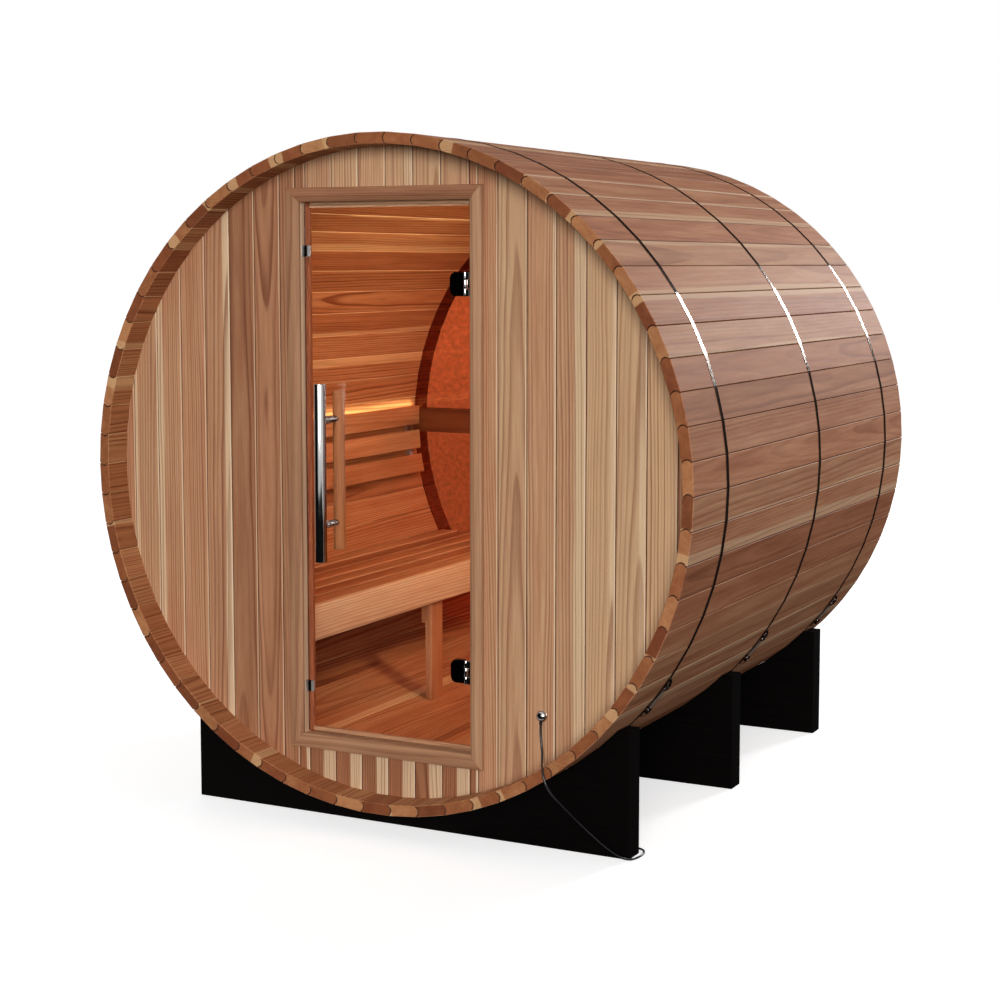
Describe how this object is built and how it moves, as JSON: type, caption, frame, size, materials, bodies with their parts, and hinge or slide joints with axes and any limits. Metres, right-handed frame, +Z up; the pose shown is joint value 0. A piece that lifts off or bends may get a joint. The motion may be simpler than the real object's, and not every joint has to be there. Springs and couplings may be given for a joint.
{
  "type": "barrel sauna",
  "caption": "Cedar barrel sauna on cradles, with a framed glass door at the front, bronze half-round rear windows and a bench inside.",
  "frame": {"origin": "on the ground, under the middle of the barrel's length and width", "axes": "+Z up, -Y towards the front with the door, +X to the right of someone who faces the door"},
  "size_m": [1.907, 1.9734, 1.9778],
  "materials": {
    "stave_cedar": "oiled, straight grain",
    "wall_cedar": "planed, straight grain",
    "frame_cedar": "planed and oiled",
    "bench_cedar": "planed, unfinished",
    "handle_wood": "turned and sanded",
    "cradle_wood": "black stain, matt",
    "door_glass": "clear toughened, faint warm tint",
    "bronze_glass": "bronze tint",
    "polished_steel": "polished",
    "strip_steel": "brushed",
    "light_cover": "diffusing cover",
    "lead_rubber": "smooth",
    "plug_plastic": "moulded"
  },
  "bodies": {
    "sauna": {"floor_staves": "stave_cedar", "right_lower_staves": "stave_cedar", "right_middle_staves": "stave_cedar", "right_upper_staves": "stave_cedar", "roof_staves": "stave_cedar", "left_upper_staves": "stave_cedar", "left_middle_staves": "stave_cedar", "left_lower_staves": "stave_cedar", "front_wall_left": "wall_cedar", "front_wall_right": "wall_cedar", "front_wall_over_door": "wall_cedar", "front_wall_under_door": "wall_cedar", "door_frame": "frame_cedar", "door_casing": "frame_cedar", "door_catches": "polished_steel", "upper_hinge_leaf": "polished_steel", "lower_hinge_leaf": "polished_steel", "rear_glass_upper": "bronze_glass", "rear_glass_lower": "bronze_glass", "rear_rail": "frame_cedar", "bench_seat": "bench_cedar", "bench_fascia": "bench_cedar", "bench_posts": "bench_cedar", "bench_bearers": "bench_cedar", "backrest_top": "bench_cedar", "backrest_middle": "bench_cedar", "backrest_bottom": "bench_cedar", "backrest_strips": "strip_steel", "backrest_light": "light_cover", "band_front": "polished_steel", "band_middle": "polished_steel", "band_rear": "polished_steel", "band_clamps": "polished_steel", "cradle_front": "cradle_wood", "cradle_middle": "cradle_wood", "cradle_rear": "cradle_wood", "cable_cap": "polished_steel", "lead": "lead_rubber", "lead_coil": "lead_rubber", "plug": "plug_plastic"},
    "door": {"door_glass": "door_glass", "upper_hinge_plate": "polished_steel", "lower_hinge_plate": "polished_steel", "outer_handle": "polished_steel", "inner_handle": "handle_wood"}
  },
  "joints": [
    {"name": "door_hinge", "type": "hinge", "parent": "sauna", "child": "door", "pos_m": [0.245, -0.8845, 1.0254], "axis": [0, 0, 1], "range_deg": [0, 105]}
  ]
}
